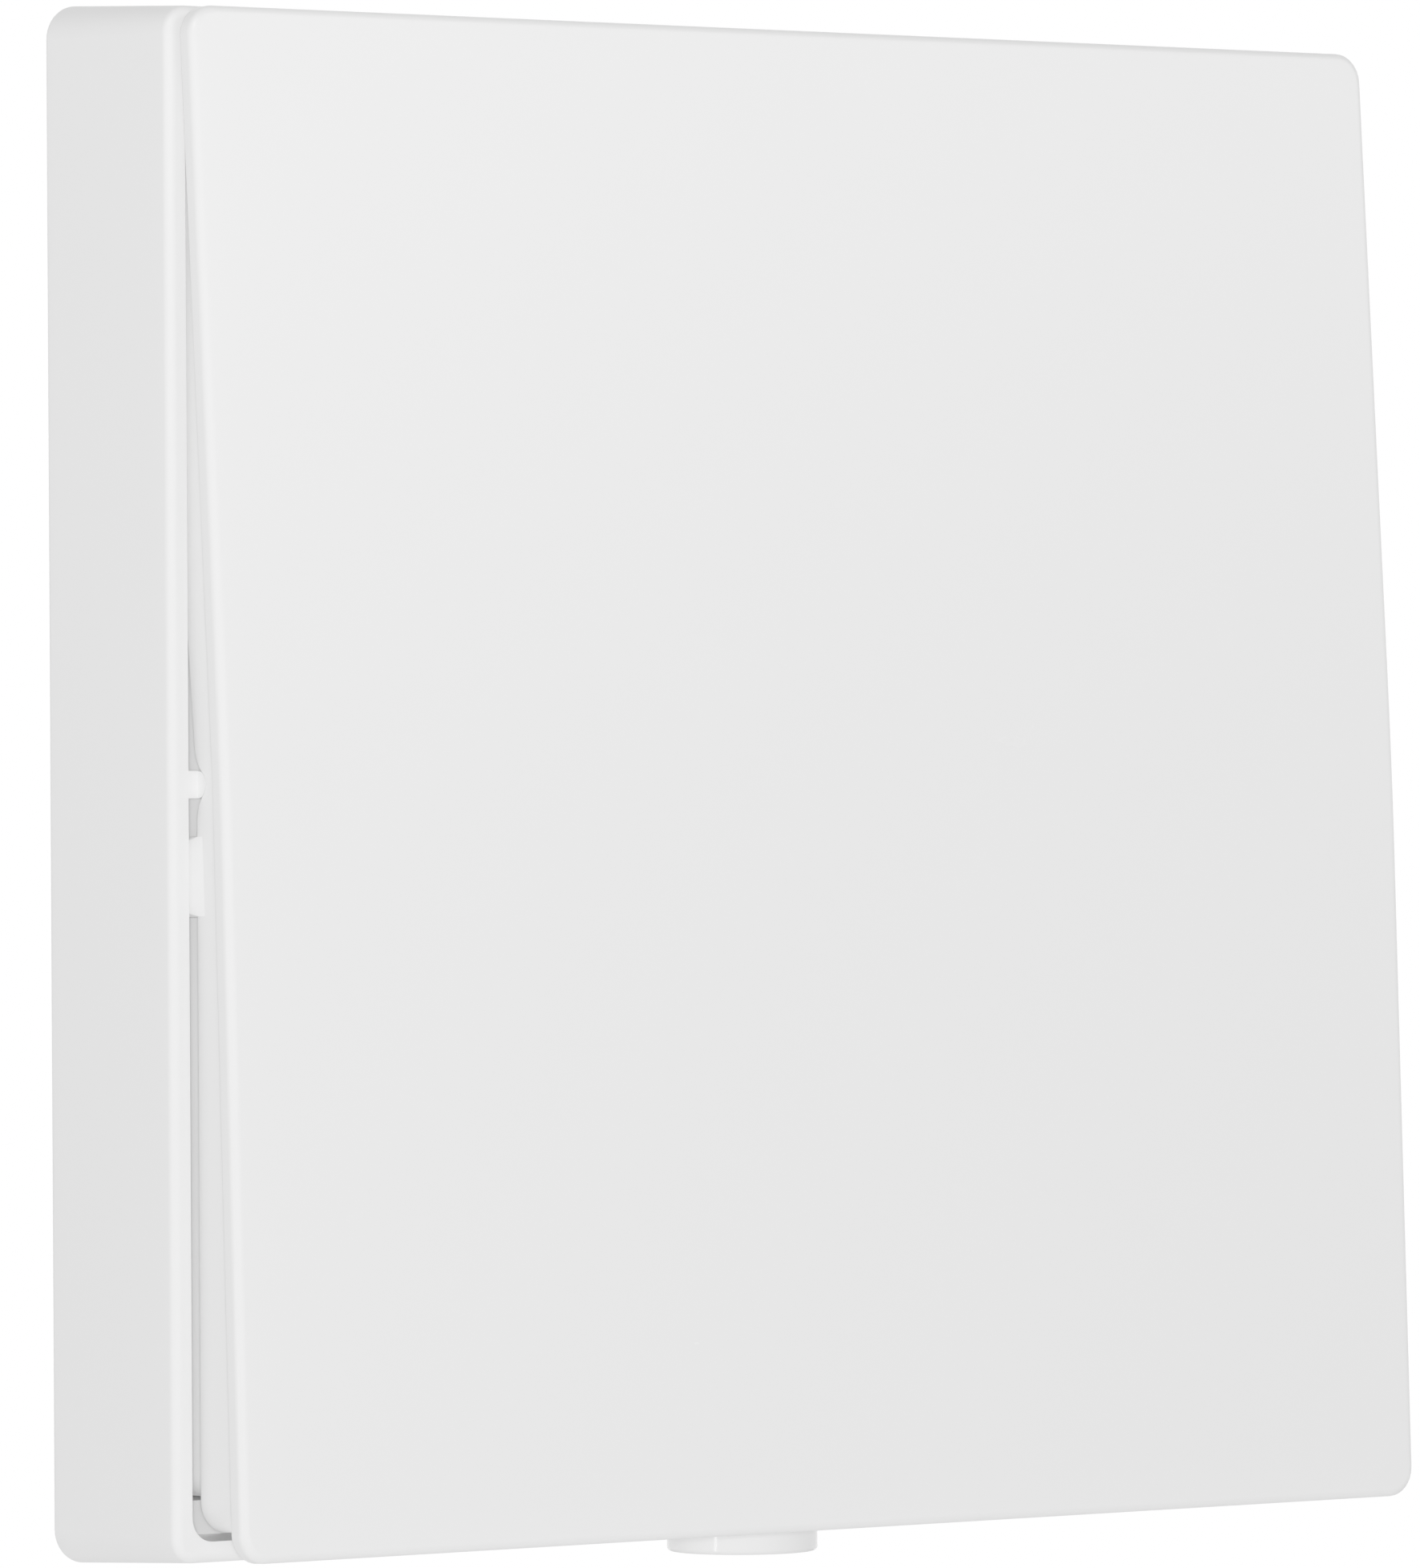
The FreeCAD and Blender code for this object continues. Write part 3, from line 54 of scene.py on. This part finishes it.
# Wall tray: one injection moulding in white ASA, satin from a fine spark-eroded tool. Its tone drifts a
# little from place to place, and its grain is about a tenth of a millimetre wide. Two screws through the
# slots of its floor, or two glue pads, hold it to the wall.
def pattern_group(name, colours, numbers, places=()):
    """An empty pattern with these inputs that gives a colour, a roughness and a normal, and its two ends."""
    group = bpy.data.node_groups.new(name, "ShaderNodeTree")
    for kind, inputs in (
        ("NodeSocketVector", places), ("NodeSocketColor", colours), ("NodeSocketFloat", numbers),
    ):
        for socket in inputs:
            group.interface.new_socket(socket, in_out="INPUT", socket_type=kind)
    for kind, result in (
        ("NodeSocketColor", "Colour"), ("NodeSocketFloat", "Roughness"), ("NodeSocketVector", "Normal"),
    ):
        group.interface.new_socket(result, in_out="OUTPUT", socket_type=kind)
    return group, group.nodes.new("NodeGroupInput"), group.nodes.new("NodeGroupOutput")


def centred_place(group, given):
    """Object coordinates counted from the centre that the pattern is given."""
    place = group.nodes.new("ShaderNodeTexCoord")
    centred = group.nodes.new("ShaderNodeMapping")
    centred.vector_type = "TEXTURE"
    group.links.new(place.outputs["Object"], centred.inputs["Vector"])
    group.links.new(given.outputs["Centre"], centred.inputs["Location"])
    return centred.outputs["Vector"]


def noise(group, place, detail):
    """Cloudy noise over a piece, finer with more detail."""
    texture = group.nodes.new("ShaderNodeTexNoise")
    texture.inputs["Detail"].default_value = detail
    group.links.new(place, texture.inputs["Vector"])
    return texture


patch_scale = 110.0
grain_height = 0.00002


def moulded_skin_group():
    """Pattern: slow drift of colour, patchy gloss and fine mould grain of a plastic surface."""
    group, given, out = pattern_group(
        "moulded_skin",
        colours=("Colour", "Drift Colour"),
        numbers=("Drift Scale", "Roughness Low", "Roughness High", "Grain Scale", "Grain Depth"),
        places=("Centre",),
    )
    add, link = group.nodes.new, group.links.new
    place = centred_place(group, given)
    drift = noise(group, place, detail=3.0)
    blend = add("ShaderNodeMix")
    blend.data_type = "RGBA"
    patches = noise(group, place, detail=4.0)
    patches.inputs["Scale"].default_value = patch_scale
    roughness = add("ShaderNodeMapRange")
    grain = noise(group, place, detail=2.0)
    bump = add("ShaderNodeBump")
    bump.inputs["Distance"].default_value = grain_height
    link(given.outputs["Drift Scale"], drift.inputs["Scale"])
    link(drift.outputs["Fac"], blend.inputs["Factor"])
    link(given.outputs["Colour"], blend.inputs["A"])
    link(given.outputs["Drift Colour"], blend.inputs["B"])
    link(patches.outputs["Fac"], roughness.inputs["Value"])
    link(given.outputs["Roughness Low"], roughness.inputs["To Min"])
    link(given.outputs["Roughness High"], roughness.inputs["To Max"])
    link(given.outputs["Grain Scale"], grain.inputs["Scale"])
    link(given.outputs["Grain Depth"], bump.inputs["Strength"])
    link(grain.outputs["Fac"], bump.inputs["Height"])
    link(blend.outputs["Result"], out.inputs["Colour"])
    link(roughness.outputs["Result"], out.inputs["Roughness"])
    link(bump.outputs["Normal"], out.inputs["Normal"])
    return group


def shader_of(material):
    """The material's own shader."""
    return material.node_tree.nodes["Principled BSDF"]


def patterned(name, pattern, settings):
    """New material whose shader takes its colour, roughness and normal from a pattern with these settings."""
    material = bpy.data.materials.new(name)
    material.use_nodes = True
    tree = material.node_tree
    skin = tree.nodes.new("ShaderNodeGroup")
    skin.node_tree = pattern
    for setting, value in settings.items():
        skin.inputs[setting].default_value = value
    for given, taken in (("Colour", "Base Color"), ("Roughness", "Roughness"), ("Normal", "Normal")):
        tree.links.new(skin.outputs[given], shader_of(material).inputs[taken])
    return material


def middle_of(node):
    """Middle of a piece at rest, where its pattern is centred."""
    low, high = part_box(node)
    return [(a + b) / 2 for a, b in zip(low, high)]


moulded_skin = moulded_skin_group()
mould_grain = (9000.0, 0.1)


def plastic(name, node, colour, drift_colour, roughness, grain=mould_grain, drift_scale=30.0):
    """A moulded plastic, its skin centred on the piece. The grain is its scale and depth."""
    return patterned(name, moulded_skin, {
        "Centre": middle_of(node),
        "Colour": (*colour, 1.0),
        "Drift Colour": (*drift_colour, 1.0),
        "Drift Scale": drift_scale,
        "Roughness Low": roughness[0],
        "Roughness High": roughness[1],
        "Grain Scale": grain[0],
        "Grain Depth": grain[1],
    })


def let_light_in(material, share, reach, depth):
    """This share of the light enters the plastic, to this depth times its reach in red, green and blue."""
    shader = shader_of(material)
    shader.inputs["Subsurface Weight"].default_value = share
    shader.inputs["Subsurface Radius"].default_value = reach
    shader.inputs["Subsurface Scale"].default_value = depth


asa_white = (0.925, 0.925, 0.924)
asa_drift = (0.912, 0.912, 0.911)
asa_light_share = 0.2
asa_light_depth = 0.0008


def white_asa(name, node, roughness, colour=asa_white, drift_colour=asa_drift, grain=mould_grain):
    """White ASA, which lets a little light in."""
    material = plastic(name, node, colour, drift_colour, roughness, grain)
    let_light_in(material, asa_light_share, (1.0, 1.0, 1.0), asa_light_depth)
    return material


def dress(material, *pieces):
    """Gives carried-over pieces their finish."""
    for piece in pieces:
        for slot in nodes[piece].material_slots:
            slot.material = material


tray_plastic = white_asa("tray_plastic", "base_housing", roughness=(0.34, 0.42))
dress(tray_plastic, "base_housing")


# Learn button: a small round cap in white ASA, polished smooth where a fingertip presses it, and held in
# the tray's bore by the plate behind it.
# The cap's white is a darker copy of the tray's white ASA: painted shade for the dimmer light it gets under
# the switch.
button_shaded_white = (0.85, 0.85, 0.849)
button_shaded_drift = (0.84, 0.84, 0.839)
polished_grain = (9000.0, 0.03)
button_plastic = white_asa(
    "button_plastic", "learn_button", roughness=(0.1, 0.15),
    colour=button_shaded_white, drift_colour=button_shaded_drift, grain=polished_grain,
)
dress(button_plastic, "learn_button")


# Circuit boards: glass laminate under a solder mask, green on the main board and blue on the radio board.
# The tracks under the mask run level and upright, and show as slightly paler, raised lines. The main board
# lies on the tray's bosses, and the radio board is soldered flat on it.
track_width_share = 0.02
track_softness = 0.2
track_height = 0.00003
track_relief = 0.6
mask_patch_scale = 300.0
mask_roughness = (0.22, 0.36)


def solder_mask_group():
    """Pattern: solder mask over a lattice of tracks, with the mask's uneven gloss."""
    group, given, out = pattern_group(
        "solder_mask",
        colours=("Mask Colour", "Bare Colour", "Track Colour"),
        numbers=("Track Scale",),
        places=("Centre",),
    )
    add, link = group.nodes.new, group.links.new
    place = centred_place(group, given)
    upright = add("ShaderNodeMapping")
    upright.inputs["Rotation"].default_value = (math.radians(90.0), 0.0, 0.0)
    tracks = add("ShaderNodeTexBrick")
    tracks.inputs["Mortar Size"].default_value = track_width_share
    tracks.inputs["Mortar Smooth"].default_value = track_softness
    bump = add("ShaderNodeBump")
    bump.inputs["Distance"].default_value = track_height
    bump.inputs["Strength"].default_value = track_relief
    patches = noise(group, place, detail=2.0)
    patches.inputs["Scale"].default_value = mask_patch_scale
    roughness = add("ShaderNodeMapRange")
    roughness.inputs["To Min"].default_value = mask_roughness[0]
    roughness.inputs["To Max"].default_value = mask_roughness[1]
    link(place, upright.inputs["Vector"])
    link(upright.outputs["Vector"], tracks.inputs["Vector"])
    link(given.outputs["Track Scale"], tracks.inputs["Scale"])
    link(given.outputs["Mask Colour"], tracks.inputs["Color1"])
    link(given.outputs["Bare Colour"], tracks.inputs["Color2"])
    link(given.outputs["Track Colour"], tracks.inputs["Mortar"])
    link(tracks.outputs["Fac"], bump.inputs["Height"])
    link(patches.outputs["Fac"], roughness.inputs["Value"])
    link(tracks.outputs["Color"], out.inputs["Colour"])
    link(roughness.outputs["Result"], out.inputs["Roughness"])
    link(bump.outputs["Normal"], out.inputs["Normal"])
    return group


solder_mask = solder_mask_group()


def board_finish(name, node, mask_colour, bare_colour, track_colour, track_pitch):
    """A board's solder mask, its tracks centred on the board."""
    return patterned(name, solder_mask, {
        "Centre": middle_of(node),
        "Mask Colour": (*mask_colour, 1.0),
        "Bare Colour": (*bare_colour, 1.0),
        "Track Colour": (*track_colour, 1.0),
        "Track Scale": 1.0 / track_pitch,
    })


green_mask = board_finish(
    "green_mask", "circuit_board",
    mask_colour=(0.008, 0.085, 0.035), bare_colour=(0.007, 0.075, 0.031), track_colour=(0.01, 0.1, 0.042),
    track_pitch=0.0032,
)
blue_mask = board_finish(
    "blue_mask", "radio_board",
    mask_colour=(0.006, 0.03, 0.075), bare_colour=(0.005, 0.026, 0.066), track_colour=(0.008, 0.037, 0.09),
    track_pitch=0.0018,
)
dress(green_mask, "circuit_board")
dress(blue_mask, "radio_board")


# Chips: the controller and the flat resistors are moulded or glazed in a near-black resin, which is dull
# and faintly speckled with its mineral filler. They are soldered flat on the board.
chip_resin = plastic(
    "chip_resin", "controller_chip", (0.02, 0.021, 0.024), (0.032, 0.033, 0.036),
    roughness=(0.5, 0.65), grain=(14000.0, 0.4), drift_scale=900.0,
)
dress(chip_resin, "controller_chip", "chip_resistors")


# Small ceramics: the aerial is a white fired block and the capacitors are tan ones, both dull and chalky.
# They are soldered flat on their boards.
aerial_ceramic = plastic(
    "aerial_ceramic", "chip_antenna", (0.62, 0.61, 0.57), (0.55, 0.54, 0.50),
    roughness=(0.55, 0.7), drift_scale=400.0,
)
capacitor_ceramic = plastic(
    "capacitor_ceramic", "chip_capacitors", (0.34, 0.22, 0.12), (0.27, 0.17, 0.09),
    roughness=(0.5, 0.65), drift_scale=400.0,
)
dress(aerial_ceramic, "chip_antenna")
dress(capacitor_ceramic, "chip_capacitors")


# Status lamp: a milky epoxy lens cast on a white carrier. It is soldered on the board, and its light
# reaches the outside as a glow through the tray's thin white walls.
lamp_resin = plastic(
    "lamp_resin", "status_led", (0.78, 0.78, 0.66), (0.70, 0.70, 0.58),
    roughness=(0.1, 0.2), drift_scale=900.0,
)
shader_of(lamp_resin).inputs["Transmission Weight"].default_value = 0.5
dress(lamp_resin, "status_led")


# Dark mouldings: the coin cell's nest and the two switch bodies are black glass-filled nylon, each with
# the gloss and grain of its own tool, and heat-staked or soldered to the circuit board.
holder_plastic = plastic(
    "holder_plastic", "battery_holder", (0.022, 0.022, 0.024), (0.03, 0.03, 0.032),
    roughness=(0.42, 0.55),
)
switch_plastic = plastic(
    "switch_plastic", "rocker_switch_body", (0.018, 0.018, 0.02), (0.026, 0.026, 0.028),
    roughness=(0.35, 0.5),
)
dress(holder_plastic, "battery_holder")
dress(switch_plastic, "rocker_switch_body", "learn_switch_body")


# Switch plungers: dark red acetal, waxy and slightly see-through at its edges, as long-stroke key
# switches have. They slide in the switch bodies on a leaf spring.
acetal_light_share = 0.15
acetal_light_reach = (1.0, 0.4, 0.3)
acetal_light_depth = 0.001
plunger_acetal = plastic(
    "plunger_acetal", "rocker_switch_plunger", (0.42, 0.035, 0.025), (0.36, 0.028, 0.02),
    roughness=(0.28, 0.38),
)
let_light_in(plunger_acetal, acetal_light_share, acetal_light_reach, acetal_light_depth)
dress(plunger_acetal, "rocker_switch_plunger", "learn_switch_plunger")


# Metal pieces: the nickel-plated coin cell, the two bronze spring contacts, zinc-plated screws, and tinned
# cans over the radio and the clock crystal. All carry the fine directional scratches of the strip mill or
# the drawing die, which stretch the highlight along the metal's grain.
streak_stretch = (1.0, 1.0, 0.04)
streak_height = 0.00001
streak_relief = 0.3


def rolled_metal_group():
    """Pattern: streaks of tint and gloss along one axis, for rolled or drawn metal."""
    group, given, out = pattern_group(
        "rolled_metal",
        colours=("Colour", "Streak Colour"),
        numbers=("Streak Scale", "Roughness Low", "Roughness High"),
    )
    add, link = group.nodes.new, group.links.new
    place = add("ShaderNodeTexCoord")
    stretch = add("ShaderNodeMapping")
    stretch.inputs["Scale"].default_value = streak_stretch
    streaks = noise(group, stretch.outputs["Vector"], detail=6.0)
    blend = add("ShaderNodeMix")
    blend.data_type = "RGBA"
    roughness = add("ShaderNodeMapRange")
    bump = add("ShaderNodeBump")
    bump.inputs["Distance"].default_value = streak_height
    bump.inputs["Strength"].default_value = streak_relief
    link(place.outputs["Object"], stretch.inputs["Vector"])
    link(given.outputs["Streak Scale"], streaks.inputs["Scale"])
    link(streaks.outputs["Fac"], blend.inputs["Factor"])
    link(given.outputs["Colour"], blend.inputs["A"])
    link(given.outputs["Streak Colour"], blend.inputs["B"])
    link(streaks.outputs["Fac"], roughness.inputs["Value"])
    link(given.outputs["Roughness Low"], roughness.inputs["To Min"])
    link(given.outputs["Roughness High"], roughness.inputs["To Max"])
    link(streaks.outputs["Fac"], bump.inputs["Height"])
    link(blend.outputs["Result"], out.inputs["Colour"])
    link(roughness.outputs["Result"], out.inputs["Roughness"])
    link(bump.outputs["Normal"], out.inputs["Normal"])
    return group


rolled_metal = rolled_metal_group()


def metal(name, colour, streak_colour, roughness, streak_scale=900.0):
    """A bare or plated metal with the streaks of its rolling or drawing."""
    material = patterned(name, rolled_metal, {
        "Colour": (*colour, 1.0),
        "Streak Colour": (*streak_colour, 1.0),
        "Streak Scale": streak_scale,
        "Roughness Low": roughness[0],
        "Roughness High": roughness[1],
    })
    shader_of(material).inputs["Metallic"].default_value = 1.0
    return material


cell_nickel = metal("cell_nickel", (0.60, 0.59, 0.56), (0.52, 0.51, 0.49), roughness=(0.2, 0.32))
contact_bronze = metal("contact_bronze", (0.70, 0.52, 0.26), (0.60, 0.43, 0.20), roughness=(0.22, 0.38))
screw_zinc = metal(
    "screw_zinc", (0.56, 0.57, 0.60), (0.47, 0.49, 0.53), roughness=(0.26, 0.42), streak_scale=1500.0
)
shield_tin = metal(
    "shield_tin", (0.66, 0.65, 0.62), (0.58, 0.57, 0.55), roughness=(0.28, 0.42), streak_scale=700.0
)
dress(cell_nickel, "coin_cell")
dress(contact_bronze, "battery_contact_negative", "battery_clip_positive")
dress(screw_zinc, "cover_screws")
dress(shield_tin, "radio_shield", "clock_crystal")


# Module cover: the inner lid over the electronics, in the same white ASA but straight from a plain tool,
# so duller. Four screws hold it, and it is the pale face seen in the gap beside the rocker.
cover_plastic = white_asa("cover_plastic", "module_cover", roughness=(0.45, 0.55))
dress(cover_plastic, "module_cover")


# Stop pads: grey silicone rubber with the dry bloom of rubber, die cut from sheet and stuck in their
# recesses, so that the rocker lands softly.
pad_silicone = plastic(
    "pad_silicone", "stop_pads", (0.16, 0.16, 0.165), (0.21, 0.21, 0.215),
    roughness=(0.62, 0.8), grain=(5000.0, 0.5), drift_scale=200.0,
)
dress(pad_silicone, "stop_pads")


# Return springs: bright drawn wire, closed at both ends. They stand on the module cover under the lower
# half of the rocker, and shorten as it is pressed by as much as their seats on the rocker come nearer.
spring_wire = metal(
    "spring_wire", (0.52, 0.52, 0.53), (0.44, 0.44, 0.46), roughness=(0.16, 0.28), streak_scale=2500.0
)
weld_distance = 0.000001
wire_crease = math.radians(40.0)


def pressed_spring(name, node):
    """Stands for a return spring: a welded, smooth-shaded copy of it that moves with the tray."""
    mesh = bmesh.new()
    mesh.from_mesh(nodes[node].data)
    bmesh.ops.remove_doubles(mesh, verts=mesh.verts, dist=weld_distance)
    for edge in mesh.edges:
        edge.smooth = edge.calc_face_angle() < wire_crease
    data = bpy.data.meshes.new(name)
    mesh.to_mesh(data)
    mesh.free()
    data.attributes.remove(data.attributes["custom_normal"])
    data.materials.append(spring_wire)
    spring = bpy.data.objects.new(name, data)
    scene.collection.objects.link(spring)
    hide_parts(node)
    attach(spring, "tray")
    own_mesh(spring)


pressed_spring("pressed_spring_left", "return_spring_left")
pressed_spring("pressed_spring_right", "return_spring_right")


# Rocker: the plate and its skirt are one moulding in white ASA from a finely blasted tool, snapped on the
# tray's two stubs. Its large plane shows a slow unevenness of tone, as a plate does that cools on ribs.
rocker_drift = (0.914, 0.914, 0.913)
rocker_plastic = white_asa("rocker_plastic", "rocker", roughness=(0.23, 0.29), drift_colour=rocker_drift)
dress(rocker_plastic, "rocker")


# Floor: a plain round sheet of pale paper well below the switch, lit from within a little so that it
# gives the white light back to the underside.
white = (1.0, 1.0, 1.0, 1.0)
floor_radius = 4.5
floor_height = -1.3
floor_sides = 96
floor_paper_grey = (0.9, 0.9, 0.9, 1.0)
floor_roughness = 0.9
floor_glow = 0.4


def pale_floor():
    """Lays the sheet in the scene, apart from the switch's pieces."""
    mesh = bmesh.new()
    bmesh.ops.create_circle(mesh, cap_ends=True, segments=floor_sides, radius=floor_radius)
    bmesh.ops.translate(mesh, verts=mesh.verts, vec=(0.0, 0.0, floor_height))
    data = bpy.data.meshes.new("floor")
    mesh.to_mesh(data)
    mesh.free()
    floor = bpy.data.objects.new("floor", data)
    scene.collection.objects.link(floor)
    material = bpy.data.materials.new("floor_paper")
    material.use_nodes = True
    shader = shader_of(material)
    shader.inputs["Base Color"].default_value = floor_paper_grey
    shader.inputs["Roughness"].default_value = floor_roughness
    shader.inputs["Emission Color"].default_value = white
    shader.inputs["Emission Strength"].default_value = floor_glow
    data.materials.append(material)


pale_floor()


# Room: a white tent that gives an even, weak light from all sides. The camera and the gloss of the pieces
# see it as white paper.
tent_strength = 0.1
paper_strength = 1.0
studio = bpy.data.worlds.new("studio")
scene.world = studio
studio.use_nodes = True
room = studio.node_tree
light_tent = room.nodes["Background"]
light_tent.inputs["Color"].default_value = white
light_tent.inputs["Strength"].default_value = tent_strength
paper = room.nodes.new("ShaderNodeBackground")
paper.inputs["Color"].default_value = white
paper.inputs["Strength"].default_value = paper_strength
ray = room.nodes.new("ShaderNodeLightPath")
seen = room.nodes.new("ShaderNodeMath")
seen.operation = "MAXIMUM"
either = room.nodes.new("ShaderNodeMixShader")
room.links.new(ray.outputs["Is Camera Ray"], seen.inputs[0])
room.links.new(ray.outputs["Is Glossy Ray"], seen.inputs[1])
room.links.new(seen.outputs["Value"], either.inputs["Fac"])
room.links.new(light_tent.outputs["Background"], either.inputs[1])
room.links.new(paper.outputs["Background"], either.inputs[2])
room.links.new(either.outputs["Shader"], room.nodes["World Output"].inputs["Surface"])


# Lamps: a soft box by the camera, cross-polarised against glare, lights all that the camera sees into the
# gaps. One panel lights the sides from the upper left, another is mirrored softly in the top of the plate,
# and a thin strip far to the left draws the narrow highlight on the polished button.
def softbox(name, place, aim, width, height, power):
    """An oblong soft lamp that points from one place at another. The power is in watts."""
    lamp = bpy.data.lights.new(name, "AREA")
    lamp.shape = "RECTANGLE"
    lamp.size = width
    lamp.size_y = height
    lamp.energy = power
    holder = bpy.data.objects.new(name, lamp)
    scene.collection.objects.link(holder)
    holder.location = place
    holder.rotation_mode = "QUATERNION"
    holder.rotation_quaternion = (Vector(aim) - Vector(place)).to_track_quat("-Z", "Y")
    holder.visible_camera = False
    return holder


camera_lamp = softbox(
    "camera_lamp", place=(-0.3789, -0.4845, 0.0023), aim=(-0.003, -0.008, 0.0),
    width=0.03, height=0.03, power=1.47,
)
camera_lamp.visible_glossy = False
softbox(
    "upper_left_panel", place=(-0.16, -0.12, 0.18), aim=(0.0, -0.01, 0.0),
    width=0.1, height=0.1, power=0.085,
)
softbox(
    "upper_right_panel", place=(0.185, -0.25, 0.135), aim=(0.0, -0.012, 0.03),
    width=0.22, height=0.15, power=0.145,
)
softbox(
    "far_left_strip", place=(-0.59, -0.115, -0.08), aim=(0.0, -0.01, -0.04),
    width=0.015, height=0.2, power=0.15,
)


# Camera: a long lens to the left of the switch and level with it, as in the photograph. The angles are
# degrees round the switch, up, and round the line of sight.
camera_turn = math.radians(38.261)
camera_rise = math.radians(0.239)
camera_roll = math.radians(-0.306)
camera_target = Vector((-0.003055, -0.008, -0.000205))
camera_distance = 0.606883
back = Vector((
    -math.sin(camera_turn) * math.cos(camera_rise),
    -math.cos(camera_turn) * math.cos(camera_rise),
    math.sin(camera_rise),
))
level_right = (-back).cross(Vector((0.0, 0.0, 1.0))).normalized()
level_up = level_right.cross(-back)
right = level_right * math.cos(camera_roll) + level_up * math.sin(camera_roll)
up = level_up * math.cos(camera_roll) - level_right * math.sin(camera_roll)
lens = bpy.data.cameras.new("camera")
lens.lens = 264.125
lens.sensor_width = 36.0
lens.clip_start = 0.01
lens.clip_end = 20.0
camera = bpy.data.objects.new("camera", lens)
scene.collection.objects.link(camera)
turned = Matrix((right, up, back)).transposed().to_4x4()
camera.matrix_world = Matrix.Translation(camera_target + back * camera_distance) @ turned
scene.camera = camera

# White walls pass light on many times before it is spent, so the gap round the rocker isn't left black.
# The clamp keeps single bright flecks off the plate, and the gamma keeps near-white tones apart from white.
white_wall_bounces = 24
scene.cycles.max_bounces = white_wall_bounces
scene.cycles.diffuse_bounces = white_wall_bounces
scene.cycles.sample_clamp_indirect = 2.0
scene.view_settings.view_transform = "Standard"
scene.view_settings.gamma = 2.0
